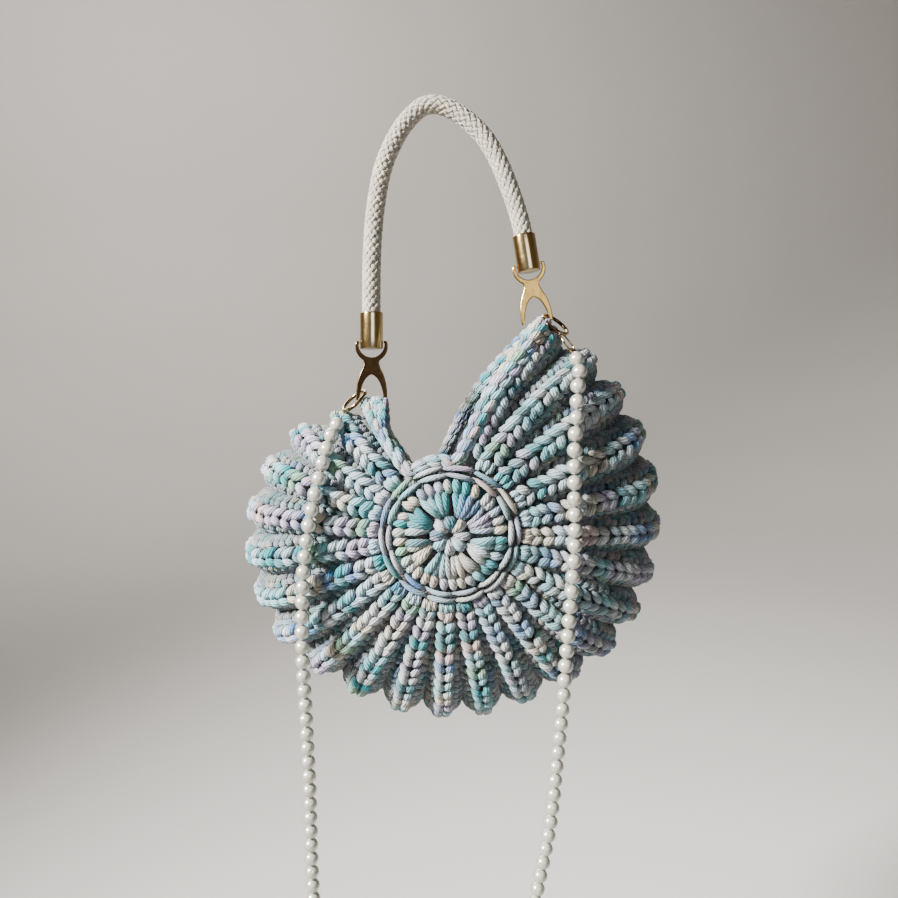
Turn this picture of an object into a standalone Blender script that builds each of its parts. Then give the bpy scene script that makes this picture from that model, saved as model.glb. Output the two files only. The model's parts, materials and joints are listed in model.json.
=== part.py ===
"""Crocheted shell handbag with a rope handle and a bead strap.

Metres, +Z up. The origin is the underside of the rope handle at its top, where a hook bears. -Y is the
front and +X the viewer's right. Angles on the shell are measured round its front disc from straight down,
positive towards +X.
"""

import math

import bmesh
import bpy
from mathutils import Matrix, Vector

# Shell: a ribbed wall round two discs, open in a notch at the top. It hangs with its ears, which stand
# EAR_RISE of its radius above its centre, a fixed length below the hook.
BAG_RADIUS = 0.145
HALF_DEPTH = 0.050
EARS_BELOW_HOOK = 0.16265
EAR_RISE = 0.71
DISC_CENTRE = Vector((0.0152, -0.030, -EARS_BELOW_HOOK - EAR_RISE * BAG_RADIUS))
DISC_RADIUS = 0.0432
DISC_HALF_THICKNESS = 0.0042
DISC_INSET = 0.002
DISC_GAP = 0.0013
BACK_DROP = 0.022
WALL = 0.0050
GAP = 0.0005
RIB_STEP = 13.0
RIB_COUNT = 22
FIRST_CREST = -132.5
CREST_SHARE = 0.27
RIB_DEPTH = 0.0095
LEFT_EDGE = -141.5
RIGHT_EDGE = 152.8
LEAN_FRONT = 15.0
LEAN_BACK = 30.0
LEAN_START = 95.0
ROWS = 7
# Crest radius as a share of BAG_RADIUS, by angle.
OUTLINE = (
    (-160, 0.64), (-142, 0.680), (-134, 0.697), (-128, 0.750), (-116, 0.848), (-100, 0.918),
    (-85, 0.955), (-70, 0.982), (-55, 0.998), (-40, 0.985), (-27, 0.973), (-10, 0.977), (10, 0.977),
    (27, 0.970), (42, 0.990), (55, 1.003), (70, 0.990), (85, 0.970), (106, 0.970), (127, 0.983),
    (148, 0.993), (160, 1.0), (185, 1.0),
)
# Squareness of the section through the wall, by angle: low is pinched, high is boxy.
SQUARENESS = (
    (-160, 1.6), (-130, 1.6), (-110, 1.9), (-85, 2.3), (-50, 2.6), (50, 2.6), (110, 2.5),
    (140, 2.1), (156, 1.9), (185, 1.9),
)

# Mouth rim: a cord laid along the free edge of the wall and over the discs.
RIM_RADIUS = 0.0032
RIM_GAP = 0.0013
RIM_DISC_STEPS = 4
RIM_CORNER = 6.5

# Rope handle: each row is the share of the way from the left cup's mouth to the right one's, the distance
# in front of that line (negative) or behind it, and the height above it.
ROPE_RADIUS = 0.00625
ROPE_PATH = (
    (0.0000, 0.00100, 0.00720), (0.0050, 0.00499, 0.03745), (0.0297, 0.00994, 0.06689),
    (0.0852, 0.01383, 0.09168), (0.1943, 0.01761, 0.10925), (0.3162, 0.01937, 0.11637),
    (0.3885, 0.01922, 0.11550), (0.4678, 0.01906, 0.11088), (0.5976, 0.01780, 0.09790),
    (0.7364, 0.01453, 0.07787), (0.8295, 0.01134, 0.05814), (0.9068, 0.00719, 0.03602),
    (0.9683, 0.00306, 0.01451),
)
CUP_RADIUS = 0.00765
CUP_BORE = 0.0069
CUP_LENGTH = 0.0245
CUP_FLOOR = 0.0040
CUP_SIDES = 16
# Places of the cups and rings, each from the ear of the shell on its side.
LEFT_CUP_MOUTH = Vector((0.00908, 0.01000, 0.05911))
LEFT_CUP_BASE = Vector((0.00908, 0.00600, 0.03491))
RIGHT_CUP_MOUTH = Vector((-0.01750, 0.01200, 0.05868))
RIGHT_CUP_BASE = Vector((-0.01360, 0.00700, 0.03478))

# Clip: an open loop above holds the cup, and two legs below straddle the shell's ear.
CLIP_THICKNESS = 0.0026
LOOP_OUTER = 0.01045
LOOP_INNER = 0.0088
LOOP_ABOVE_BASE = 0.0033
NECK_BELOW_LOOP = 0.0134
# One leg's outline below the neck, in metres from the neck's centre: outer edge down, inner edge up.
LEG_OUTER = (
    (0.0050, 0.0015), (0.0056, -0.0018), (0.0078, -0.0070), (0.0095, -0.0130), (0.0102, -0.0190),
    (0.0102, -0.0240),
)
LEG_INNER = (
    (0.0080, -0.0240), (0.0076, -0.0175), (0.0060, -0.0115), (0.0034, -0.0078), (0.0007, -0.0062),
)

# Strap: a ring at each ear, and one string of beads in two halves that meet at the bottom.
RING_RADIUS = 0.0095
RING_WIRE = 0.0009
LEFT_RING_CENTRE = Vector((-0.00252, -0.00120, 0.00101))
LEFT_RING_NORMAL = Vector((-0.618, -0.210, 0.760))
RIGHT_RING_CENTRE = Vector((0.00310, -0.00300, 0.00058))
RIGHT_RING_NORMAL = Vector((0.518, -0.295, 0.790))
SEAT_GAP = 0.0003
BEAD_RADIUS = 0.0049
BEAD_PITCH = 0.01015
NECK_RADIUS = 0.0012
BEAD_SHOULDER = 0.27
STRAP_CLEARANCE = 0.0012
# Bead centres down each side, from the ring to the lowest point of the loop.
LEFT_STRAND = (
    (-0.0600, -0.0480, -0.2020), (-0.0660, -0.0700, -0.2240), (-0.0748, -0.0820, -0.2649),
    (-0.0790, -0.0830, -0.3060), (-0.0802, -0.0830, -0.3490), (-0.0792, -0.0830, -0.3910),
    (-0.0783, -0.0830, -0.4430), (-0.0780, -0.0830, -0.5180), (-0.0740, -0.0830, -0.5900),
    (-0.0620, -0.0830, -0.6540), (-0.0400, -0.0830, -0.7080), (-0.0170, -0.0830, -0.7360),
    (0.0020, -0.0830, -0.7430),
)
RIGHT_STRAND = (
    (0.0975, -0.0400, -0.1600), (0.0952, -0.0560, -0.1755), (0.0940, -0.0690, -0.1928),
    (0.0928, -0.0780, -0.2100), (0.0930, -0.0830, -0.2380), (0.0939, -0.0830, -0.2690),
    (0.0926, -0.0830, -0.3060), (0.0908, -0.0830, -0.3390), (0.0892, -0.0830, -0.3750),
    (0.0863, -0.0830, -0.4170), (0.0822, -0.0830, -0.4690), (0.0741, -0.0830, -0.5210),
    (0.0660, -0.0830, -0.5900), (0.0540, -0.0830, -0.6540), (0.0370, -0.0830, -0.7080),
    (0.0190, -0.0830, -0.7360), (0.0020, -0.0830, -0.7430),
)


def clear_scene():
    """Remove every object, so the script starts from nothing."""
    for item in list(bpy.data.objects):
        bpy.data.objects.remove(item, do_unlink=True)


def new_collection(name):
    """Make a collection in the scene."""
    group = bpy.data.collections.new(name)
    bpy.context.scene.collection.children.link(group)
    return group


def material(name, colour, roughness, metallic=0.0):
    """Make a Principled BSDF material."""
    made = bpy.data.materials.new(name)
    made.use_nodes = True
    shader = made.node_tree.nodes["Principled BSDF"]
    shader.inputs["Base Color"].default_value = (*colour, 1.0)
    shader.inputs["Roughness"].default_value = roughness
    shader.inputs["Metallic"].default_value = metallic
    return made


def add_object(name, data, group, finish):
    """Put mesh or curve data into the collection as a named object with its material."""
    item = bpy.data.objects.new(name, data)
    item.data.materials.append(finish)
    group.objects.link(item)
    return item


def from_bmesh(name, bm, group, finish):
    """Turn a bmesh into a named object."""
    mesh = bpy.data.meshes.new(name)
    bm.to_mesh(mesh)
    bm.free()
    return add_object(name, mesh, group, finish)


def table_value(table, x):
    """Read a table of (x, value) pairs with smooth steps between its rows."""
    for (x0, v0), (x1, v1) in zip(table, table[1:]):
        if x <= x1:
            share = min(max((x - x0) / (x1 - x0), 0.0), 1.0)
            return v0 + (v1 - v0) * share
    return table[-1][1]


def smooth_path(points, steps):
    """Put steps Catmull-Rom points on each span of a path."""
    knots = [Vector(p) for p in points]
    ends = [knots[0] * 2 - knots[1], *knots, knots[-1] * 2 - knots[-2]]
    path = []
    for a, b, c, d in zip(ends, ends[1:], ends[2:], ends[3:]):
        for k in range(steps):
            t = k / steps
            path.append(
                0.5 * (2 * b + (c - a) * t + (2 * a - 5 * b + 4 * c - d) * t * t
                       + (3 * b - a - 3 * c + d) * t ** 3)
            )
    path.append(knots[-1])
    return path


def path_point(path, distance):
    """Point at a distance along a path."""
    for a, b in zip(path, path[1:]):
        span = (b - a).length
        if span > 0 and distance <= span:
            return a.lerp(b, distance / span)
        distance -= span
    return path[-1]


def lean(angle, turn):
    """Degrees that a column near the right edge leans, by where it is between front and back."""
    share = min(max((angle - LEAN_START) / (RIGHT_EDGE - LEAN_START), 0.0), 1.0)
    share = share * share * (3 - 2 * share)
    reach = 1 - math.sin(turn)
    return share * reach ** 1.1 * (LEAN_FRONT if turn < math.pi / 2 else LEAN_BACK)


def wall_point(angle, turn, depth=0.0):
    """Point on the wall: angle in degrees round the disc, turn 0 at the front disc to pi at the back.

    The section is a superellipse from the disc's edge out to the outline and back. depth moves the
    point inwards across the wall.
    """
    inner = DISC_RADIUS + DISC_GAP
    reach = table_value(OUTLINE, angle) * BAG_RADIUS - inner
    power = table_value(SQUARENESS, angle)
    side = 1.0 if math.cos(turn) >= 0 else -1.0
    out = max(math.sin(turn), 0.0) ** (2 / power)
    ahead = abs(math.cos(turn)) ** (2 / power)
    normal = Vector((out ** (power - 1) / reach, ahead ** (power - 1) / HALF_DEPTH)).normalized()
    radius = inner + reach * out - depth * normal.x
    y = DISC_CENTRE.y - side * (HALF_DEPTH * ahead - depth * normal.y)
    swing = math.radians(angle + lean(angle, turn))
    sag = BACK_DROP * max(-math.cos(turn), 0.0) ** 1.5
    return Vector((
        DISC_CENTRE.x + radius * math.sin(swing), y, DISC_CENTRE.z - sag - radius * math.cos(swing),
    ))


def ear(edge):
    """Middle of one free edge of the wall, where a clip and a ring hold the shell."""
    return Vector(wall_point(edge, math.pi / 2))


def disc_middle(side):
    """Centre of the front disc (side 1) or of the back disc (side -1), which hangs lower."""
    drop = BACK_DROP if side < 0 else 0.0
    return DISC_CENTRE - Vector((0.0, side * (HALF_DEPTH - DISC_INSET), drop))


def rib_valley(turn):
    """Depth of the valley between two ribs: shallow at the discs, deepest at the outline."""
    return RIB_DEPTH * (0.08 + 0.92 * max(math.sin(turn), 0.0) ** 0.8)


def rib_columns():
    """Angle of each column of the wall and its share of the valley's depth, from edge to edge."""
    columns = [(LEFT_EDGE, 0.5)]
    for k in range(RIB_COUNT):
        crest = FIRST_CREST + RIB_STEP * k
        columns.append((crest - RIB_STEP * CREST_SHARE, 0.0))
        columns.append((crest + RIB_STEP * CREST_SHARE, 0.0))
        columns.append((crest + RIB_STEP / 2, 1.0))
    return [*columns, (RIGHT_EDGE, 0.2)]


def front_y(x, z):
    """Y of the shell's front at a point of the front view, or None outside its outline."""
    dx = x - DISC_CENTRE.x
    dz = z - DISC_CENTRE.z
    radius = math.hypot(dx, dz)
    angle = math.degrees(math.atan2(dx, -dz))
    inner = DISC_RADIUS + DISC_GAP
    reach = table_value(OUTLINE, angle) * BAG_RADIUS - inner
    power = table_value(SQUARENESS, angle)
    share = max((radius - inner) / reach, 0.0)
    if share >= 1 or not LEFT_EDGE < angle < RIGHT_EDGE + LEAN_FRONT:
        return None
    return DISC_CENTRE.y - HALF_DEPTH * (1 - share ** power) ** (1 / power)


def make_wall(group, finish):
    """Ribbed wall of the shell, from a grid bent into shape and thickened inwards."""
    columns = rib_columns()
    last = len(columns) - 1
    bm = bmesh.new()
    bmesh.ops.create_grid(bm, x_segments=last, y_segments=ROWS, size=1.0)
    for vert in bm.verts:
        angle, valley = columns[round((vert.co.x + 1) / 2 * last)]
        turn = math.pi * (vert.co.y + 1) / 2
        vert.co = wall_point(angle, turn, valley * rib_valley(turn))
    wall = from_bmesh("ribbed_body", bm, group, finish)
    solid = wall.modifiers.new("Wall", "SOLIDIFY")
    solid.thickness = WALL
    solid.offset = 1.0
    solid.use_even_offset = False
    solid.use_rim = True
    return wall


def make_disc(name, side, group, finish):
    """Domed disc in the middle of one face."""
    bm = bmesh.new()
    shape = Matrix.Translation(disc_middle(side)) @ Matrix.Rotation(math.pi / 2, 4, "X")
    shape = shape @ Matrix.Diagonal((DISC_RADIUS, DISC_RADIUS, DISC_HALF_THICKNESS, 1.0))
    bmesh.ops.create_uvsphere(bm, u_segments=24, v_segments=8, radius=1.0, matrix=shape)
    return from_bmesh(name, bm, group, finish)


def tube_curve(name, points, radii, depth, resolution, cyclic=False):
    """Round tube along points, with a radius share at each point."""
    curve = bpy.data.curves.new(name, "CURVE")
    curve.dimensions = "3D"
    curve.twist_mode = "MINIMUM"
    curve.bevel_depth = depth
    curve.bevel_resolution = resolution
    curve.use_fill_caps = not cyclic
    spline = curve.splines.new("POLY")
    spline.points.add(len(points) - 1)
    for point, place, share in zip(spline.points, points, radii):
        point.co = (*place, 1.0)
        point.radius = share
    spline.use_cyclic_u = cyclic
    return curve


def closed_mesh(name, curve, group, finish):
    """Mesh of a curve with its caps welded on."""
    holder = bpy.data.objects.new(name + "_curve", curve)
    bpy.context.scene.collection.objects.link(holder)
    graph = bpy.context.evaluated_depsgraph_get()
    mesh = bpy.data.meshes.new_from_object(holder.evaluated_get(graph))
    bpy.data.objects.remove(holder, do_unlink=True)
    mesh.materials.clear()
    bm = bmesh.new()
    bm.from_mesh(mesh)
    bmesh.ops.remove_doubles(bm, verts=bm.verts, dist=0.00005)
    bmesh.ops.recalc_face_normals(bm, faces=bm.faces)
    bpy.data.meshes.remove(mesh)
    return from_bmesh(name, bm, group, finish)


def make_tube(name, points, radius, resolution, group, finish, cyclic=False):
    """Plain tube of one radius."""
    curve = tube_curve(name, points, [1.0] * len(points), radius, resolution, cyclic)
    return closed_mesh(name, curve, group, finish)


def edge_line(angle, away):
    """Rim points beside one free edge of the wall, one for each of its rows, front to back."""
    turns = [math.pi * row / ROWS for row in range(ROWS + 1)]
    middle = [wall_point(angle, turn, WALL / 2) for turn in turns]
    points = []
    for before, here, after, turn in zip(middle, middle[1:], middle[2:], turns[1:]):
        along = (after - before).normalized()
        outward = here - wall_point(angle - away, turn, WALL / 2)
        outward -= along * outward.dot(along)
        points.append(here + outward.normalized() * (RIM_RADIUS + RIM_GAP))
    return points


def disc_line(start, end, side):
    """Rim points over the top of one disc, between two angles."""
    radius = DISC_RADIUS + RIM_RADIUS + RIM_GAP
    points = []
    for k in range(RIM_DISC_STEPS):
        swing = math.radians(start + (end - start) * k / (RIM_DISC_STEPS - 1))
        points.append(disc_middle(side) + Vector((math.sin(swing), 0.0, -math.cos(swing))) * radius)
    return points


def make_rim(group, finish):
    """Cord that edges the mouth: left edge, back disc, right edge, front disc."""
    left = edge_line(LEFT_EDGE, -1.0)
    right = edge_line(RIGHT_EDGE, 1.0)
    left_corner = LEFT_EDGE - RIM_CORNER
    right_corner = RIGHT_EDGE + RIM_CORNER - 360
    back = disc_line(left_corner, right_corner + LEAN_BACK, -1.0)
    front = disc_line(right_corner + LEAN_FRONT, left_corner, 1.0)
    points = [*left, *back, *reversed(right), *front]
    return make_tube("mouth_rim", points, RIM_RADIUS, 2, group, finish, cyclic=True)


def make_rope(left_cup, right_cup, group, finish):
    """Rope handle, with both ends inside the cups, each given by its mouth and base."""
    seat = CUP_LENGTH - CUP_FLOOR - GAP
    left, left_base = left_cup
    right, right_base = right_cup
    route = [left.lerp(right, share) + Vector((0.0, back, rise)) for share, back, rise in ROPE_PATH]
    span = smooth_path([left, *route, right], 2)
    start = left + (left_base - left).normalized() * seat
    end = right + (right_base - right).normalized() * seat
    return make_tube("handle_rope", [start, *span, end], ROPE_RADIUS, 2, group, finish)


def make_cup(name, mouth, base, group, finish):
    """Turned cup that grips one end of the rope."""
    axis = (mouth - base).normalized()
    profile = (
        (0.0, 0.0), (CUP_RADIUS, 0.0), (CUP_RADIUS, CUP_LENGTH), (CUP_BORE, CUP_LENGTH),
        (CUP_BORE, CUP_FLOOR), (0.0, CUP_FLOOR),
    )
    bm = bmesh.new()
    verts = [bm.verts.new((r, 0.0, h)) for r, h in profile]
    edges = [bm.edges.new(pair) for pair in zip(verts, verts[1:])]
    bmesh.ops.spin(
        bm, geom=[*verts, *edges], cent=(0, 0, 0), axis=(0, 0, 1), angle=math.tau,
        steps=CUP_SIDES, use_merge=True,
    )
    bmesh.ops.remove_doubles(bm, verts=bm.verts, dist=0.00001)
    bmesh.ops.recalc_face_normals(bm, faces=bm.faces)
    place = Matrix.Translation(base) @ axis.to_track_quat("Z", "Y").to_matrix().to_4x4()
    bmesh.ops.transform(bm, matrix=place, verts=bm.verts)
    return from_bmesh(name, bm, group, finish)


def clip_outline():
    """Outline of the clip in its own plane: loop, neck and two legs."""
    centre = NECK_BELOW_LOOP
    inner = [
        (LOOP_INNER * math.cos(math.radians(a)), centre + LOOP_INNER * math.sin(math.radians(a)))
        for a in range(0, -181, -20)
    ]
    outer = [
        (LOOP_OUTER * math.cos(math.radians(a)), centre + LOOP_OUTER * math.sin(math.radians(a)))
        for a in (-56, -35, -12, 10)
    ]
    nub = CUP_RADIUS + GAP
    right = [
        *reversed(LEG_INNER), *reversed(LEG_OUTER), *outer, (nub, centre + 0.0025), (nub, centre + 0.0010),
    ]
    left = [(-x, z) for x, z in reversed(right)]
    return [*right, *inner, *left]


def make_clip(name, mouth, base, group, finish):
    """Flat cast clip on the cup's axis."""
    axis = (mouth - base).normalized()
    curve = bpy.data.curves.new(name, "CURVE")
    curve.dimensions = "2D"
    curve.fill_mode = "BOTH"
    curve.extrude = CLIP_THICKNESS / 2
    outline = clip_outline()
    spline = curve.splines.new("POLY")
    spline.points.add(len(outline) - 1)
    for point, (x, z) in zip(spline.points, outline):
        point.co = (x, z, 0.0, 1.0)
    spline.use_cyclic_u = True
    clip = closed_mesh(name, curve, group, finish)
    neck = base + axis * (LOOP_ABOVE_BASE - NECK_BELOW_LOOP)
    across = Vector((0, -1, 0)).cross(axis).normalized() * -1
    thick = across.cross(axis)
    place = Matrix((across, axis, thick)).transposed().to_4x4()
    clip.data.transform(Matrix.Translation(neck) @ place)
    return clip


def make_ring(name, centre, normal, group, finish):
    """Round wire ring."""
    turn = normal.to_track_quat("Z", "Y").to_matrix()
    points = []
    for k in range(16):
        swing = math.tau * k / 16
        points.append(centre + turn @ Vector((math.cos(swing), math.sin(swing), 0)) * RING_RADIUS)
    return make_tube(name, points, RING_WIRE, 2, group, finish, cyclic=True)


def clear_of_shell(point, radius):
    """Bring a ball's centre forward where it would sink into the shell."""
    limit = point.y
    for reach in (0.0, 0.4, 0.75, 0.95):
        ahead = radius * math.sqrt(1 - reach * reach) + STRAP_CLEARANCE
        for k in range(8):
            swing = math.tau * k / 8
            surface = front_y(
                point.x + reach * radius * math.cos(swing), point.z + reach * radius * math.sin(swing)
            )
            if surface is not None:
                limit = min(limit, surface - ahead)
    return Vector((point.x, limit, point.z))


def link_seat(centre, normal, target):
    """Where the strap's end link meets its ring: just outside the wire, on the side of the target."""
    across = target - centre
    across -= normal.normalized() * across.dot(normal.normalized())
    return centre + across.normalized() * (RING_RADIUS + RING_WIRE + SEAT_GAP)


def make_strand(name, ring_centre, ring_normal, waypoints, group, finish):
    """One half of the bead string: a link from the ring, then a tube that swells at every bead."""
    path = [clear_of_shell(p, BEAD_RADIUS) for p in smooth_path(waypoints, 12)]
    length = sum((b - a).length for a, b in zip(path, path[1:]))
    beads = round(length / BEAD_PITCH)
    pitch = (length - GAP) / beads
    shoulder = BEAD_SHOULDER * pitch
    link = link_seat(ring_centre, ring_normal, path[0])
    points = [link, clear_of_shell(link.lerp(path[0], 0.5), NECK_RADIUS)]
    radii = [NECK_RADIUS, NECK_RADIUS]
    for k in range(beads):
        start = k * pitch
        for step, radius in ((0.0, NECK_RADIUS), (pitch / 2 - shoulder, BEAD_RADIUS),
                             (pitch / 2 + shoulder, BEAD_RADIUS)):
            points.append(path_point(path, start + step))
            radii.append(radius)
    points.append(path_point(path, beads * pitch))
    radii.append(NECK_RADIUS)
    curve = tube_curve(name, points, [r / BEAD_RADIUS for r in radii], BEAD_RADIUS, 3)
    print(name, beads, "beads", round(length, 4), "m")
    return closed_mesh(name, curve, group, finish)


def main():
    clear_scene()
    bag = new_collection("shell_handbag")
    yarn = material("yarn", (0.62, 0.74, 0.78), 0.9)
    yarn_dark = material("yarn_disc", (0.55, 0.70, 0.76), 0.9)
    yarn_rim = material("yarn_rim", (0.60, 0.74, 0.78), 0.9)
    rope = material("rope", (0.80, 0.79, 0.75), 0.85)
    brass = material("brass", (0.86, 0.68, 0.38), 0.25, 1.0)
    pearl = material("pearl", (0.92, 0.90, 0.84), 0.2)

    make_wall(bag, yarn)
    make_disc("front_disc", 1.0, bag, yarn_dark)
    make_disc("back_disc", -1.0, bag, yarn_dark)
    make_rim(bag, yarn_rim)
    left_ear = ear(LEFT_EDGE)
    right_ear = ear(RIGHT_EDGE)
    left_cup = (left_ear + LEFT_CUP_MOUTH, left_ear + LEFT_CUP_BASE)
    right_cup = (right_ear + RIGHT_CUP_MOUTH, right_ear + RIGHT_CUP_BASE)
    left_ring = (left_ear + LEFT_RING_CENTRE, LEFT_RING_NORMAL)
    right_ring = (right_ear + RIGHT_RING_CENTRE, RIGHT_RING_NORMAL)
    make_rope(left_cup, right_cup, bag, rope)
    make_cup("cup_left", *left_cup, bag, brass)
    make_cup("cup_right", *right_cup, bag, brass)
    make_clip("clip_left", *left_cup, bag, brass)
    make_clip("clip_right", *right_cup, bag, brass)
    make_ring("strap_ring_left", *left_ring, bag, brass)
    make_ring("strap_ring_right", *right_ring, bag, brass)
    make_strand("pearl_strand_left", *left_ring, LEFT_STRAND, bag, pearl)
    make_strand("pearl_strand_right", *right_ring, RIGHT_STRAND, bag, pearl)


main()
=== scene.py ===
# %% [markdown]
# # A crocheted shell handbag
# The frame brings in the CAD solids of the bag. This script dresses them: every stitch, pearl, braid strand
# and brass fitting is a surface worked out with numpy, and gets a procedural material.

import json
import math

import bpy
import numpy as np
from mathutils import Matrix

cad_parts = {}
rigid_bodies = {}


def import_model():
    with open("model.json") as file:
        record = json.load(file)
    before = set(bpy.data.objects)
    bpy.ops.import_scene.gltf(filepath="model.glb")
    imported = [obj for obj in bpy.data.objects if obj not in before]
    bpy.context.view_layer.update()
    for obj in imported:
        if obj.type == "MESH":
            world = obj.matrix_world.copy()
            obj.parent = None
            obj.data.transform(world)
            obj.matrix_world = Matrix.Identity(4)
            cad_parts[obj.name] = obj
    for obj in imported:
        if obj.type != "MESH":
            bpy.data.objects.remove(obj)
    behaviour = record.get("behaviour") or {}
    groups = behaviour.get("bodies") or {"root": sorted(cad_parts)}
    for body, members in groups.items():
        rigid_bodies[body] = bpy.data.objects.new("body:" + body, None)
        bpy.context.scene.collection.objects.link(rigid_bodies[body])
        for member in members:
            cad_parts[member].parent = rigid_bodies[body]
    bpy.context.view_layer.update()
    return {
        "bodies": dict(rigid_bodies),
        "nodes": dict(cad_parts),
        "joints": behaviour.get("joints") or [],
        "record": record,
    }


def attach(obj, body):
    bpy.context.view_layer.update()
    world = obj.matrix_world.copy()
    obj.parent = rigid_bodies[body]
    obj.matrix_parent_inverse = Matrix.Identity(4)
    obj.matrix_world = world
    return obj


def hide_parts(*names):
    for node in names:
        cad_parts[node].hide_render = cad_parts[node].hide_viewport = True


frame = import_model()

# %% [markdown]
# ## Camera, stage and light
# The camera stands where the photograph was taken from: a little above the bag, looking 11 degrees down.
# The stage is one bowl, a flat pale floor that curves up into a backdrop all the way round.


# %% An object in the scene
def put(name, data):
    """A new object in the scene."""
    item = bpy.data.objects.new(name, data)
    bpy.context.scene.collection.objects.link(item)
    return item


# %% Camera
lens = bpy.data.cameras.new("photo_camera")
lens.lens = 38.1
lens.sensor_width = 36.0
lens.clip_start = 0.01
camera = put("photo_camera", lens)
camera.location = (0.0146, -0.661, -0.0976)
camera.rotation_euler = (math.radians(79.0), 0.0, 0.0)
bpy.context.scene.camera = camera


# %% A mesh from arrays
def mesh_piece(name, points, quads, material, uv=None, dye=None):
    """One object from an array of points (n, 3) and of quads (m, 4), with its UV and dye colour."""
    mesh = bpy.data.meshes.new(name)
    mesh.vertices.add(len(points))
    mesh.vertices.foreach_set("co", np.ascontiguousarray(points, dtype=np.float32).ravel())
    mesh.loops.add(quads.size)
    mesh.loops.foreach_set("vertex_index", np.ascontiguousarray(quads, dtype=np.int32).ravel())
    mesh.polygons.add(len(quads))
    mesh.polygons.foreach_set("loop_start", np.arange(len(quads), dtype=np.int32) * 4)
    mesh.update(calc_edges=True)
    mesh.polygons.foreach_set("use_smooth", np.ones(len(quads), dtype=bool))
    if uv is not None:
        layer = mesh.uv_layers.new(name="strand")
        layer.data.foreach_set("uv", np.ascontiguousarray(uv, dtype=np.float32).ravel())
    if dye is not None:
        colour = mesh.attributes.new("dye", "FLOAT_COLOR", "POINT")
        rgba = np.concatenate([dye, np.ones((len(dye), 1))], axis=1)
        colour.data.foreach_set("color", np.ascontiguousarray(rgba, dtype=np.float32).ravel())
    mesh.materials.append(material)
    return put(name, mesh)


def dress(piece, node):
    """Make a piece move with the bag, in place of a CAD node, which it hides."""
    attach(piece, "root")
    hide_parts(node)


def grid_quads(rows, columns, wrap):
    """Quads of a grid of points, whose columns close on themselves where wrap is true."""
    last = columns if wrap else columns - 1
    i, k = np.meshgrid(np.arange(rows - 1), np.arange(last), indexing="ij")
    after = (k + 1) % columns
    return np.stack([i * columns + k, i * columns + after, (i + 1) * columns + after, (i + 1) * columns + k],
                    axis=-1).reshape(-1, 4)


# %% [markdown]
# Shaders are built from a few small helpers, so each material below reads as a short recipe.


# %% Shader helpers
def new_material(name):
    """An empty material with its Principled shader and its node tree."""
    made = bpy.data.materials.new(name)
    made.use_nodes = True
    return made, made.node_tree, made.node_tree.nodes["Principled BSDF"]


def sockets(node, **values):
    """Set input sockets, named with _ for a space."""
    for key, value in values.items():
        node.inputs[key.replace("_", " ")].default_value = value


def add_node(tree, kind, **values):
    """A node whose sockets and settings are given by name; a socket value may be another node's output."""
    node = tree.nodes.new(kind)
    for key, value in values.items():
        socket = node.inputs.get(key.replace("_", " ")) if key[0].isupper() else None
        if socket is None:
            setattr(node, key, value)
        elif isinstance(value, bpy.types.NodeSocket):
            tree.links.new(value, socket)
        else:
            socket.default_value = value
    return node


def maths(tree, operation, a, b=None):
    """The output of a Math node on two numbers or outputs."""
    node = tree.nodes.new("ShaderNodeMath")
    node.operation = operation
    for socket, value in zip(node.inputs, (a, b)):
        if isinstance(value, bpy.types.NodeSocket):
            tree.links.new(value, socket)
        elif value is not None:
            socket.default_value = value
    return node.outputs[0]


def remap(tree, value, low, high, start=0.0, end=1.0):
    """The output of a Map Range node, which brings start..end to low..high."""
    node = add_node(tree, "ShaderNodeMapRange", Value=value)
    sockets(node, From_Min=start, From_Max=end, To_Min=low, To_Max=high)
    return node.outputs["Result"]


def bump_from(tree, shader, height, strength, distance):
    """Bump of a height, plugged into the shader."""
    node = add_node(tree, "ShaderNodeBump", Height=height, Strength=strength, Distance=distance)
    tree.links.new(node.outputs["Normal"], shader.inputs["Normal"])


def new_group(name, inputs, outputs):
    """A node group with its sockets, and its two end nodes."""
    group = bpy.data.node_groups.new(name, "ShaderNodeTree")
    for label, kind, value in inputs:
        socket = group.interface.new_socket(label, in_out="INPUT", socket_type=kind)
        if value is not None:
            socket.default_value = value
    for label, kind in outputs:
        group.interface.new_socket(label, in_out="OUTPUT", socket_type=kind)
    return group, group.nodes.new("NodeGroupInput"), group.nodes.new("NodeGroupOutput")


def use_group(tree, group, **values):
    """A group node in a tree, with its inputs set or linked."""
    return add_node(tree, "ShaderNodeGroup", node_tree=group, **values)


# %% Floor and backdrop
FLOOR = -0.82
stage_paint, tree, shader = new_material("stage_paint")
noise = add_node(tree, "ShaderNodeTexNoise", Scale=1.3, Detail=3.0)
tree.links.new(add_node(tree, "ShaderNodeTexCoord").outputs["Object"], noise.inputs["Vector"])
shade = remap(tree, noise.outputs["Fac"], 0.56, 0.61)
tint = add_node(tree, "ShaderNodeCombineColor", Red=shade, Green=maths(tree, "MULTIPLY", shade, 0.955),
                Blue=maths(tree, "MULTIPLY", shade, 0.905))
tree.links.new(tint.outputs["Color"], shader.inputs["Base Color"])
sockets(shader, Roughness=0.95)
bowl = np.array([(0.0, 0.0), (0.8, 0.0), (1.7, 0.0), (2.1, 0.03), (2.5, 0.16), (2.85, 0.45), (3.05, 0.9),
                 (3.1, 1.6), (3.1, 3.6)])
swing = np.linspace(0.0, math.tau, 96, endpoint=False)
rings = np.stack([bowl[:, :1] * np.cos(swing), bowl[:, :1] * np.sin(swing),
                  np.broadcast_to(bowl[:, 1:] + FLOOR, (len(bowl), 96))], axis=-1)
stage = mesh_piece("stage_bowl", rings.reshape(-1, 3), grid_quads(len(bowl), 96, True)[:, ::-1], stage_paint)


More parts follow.
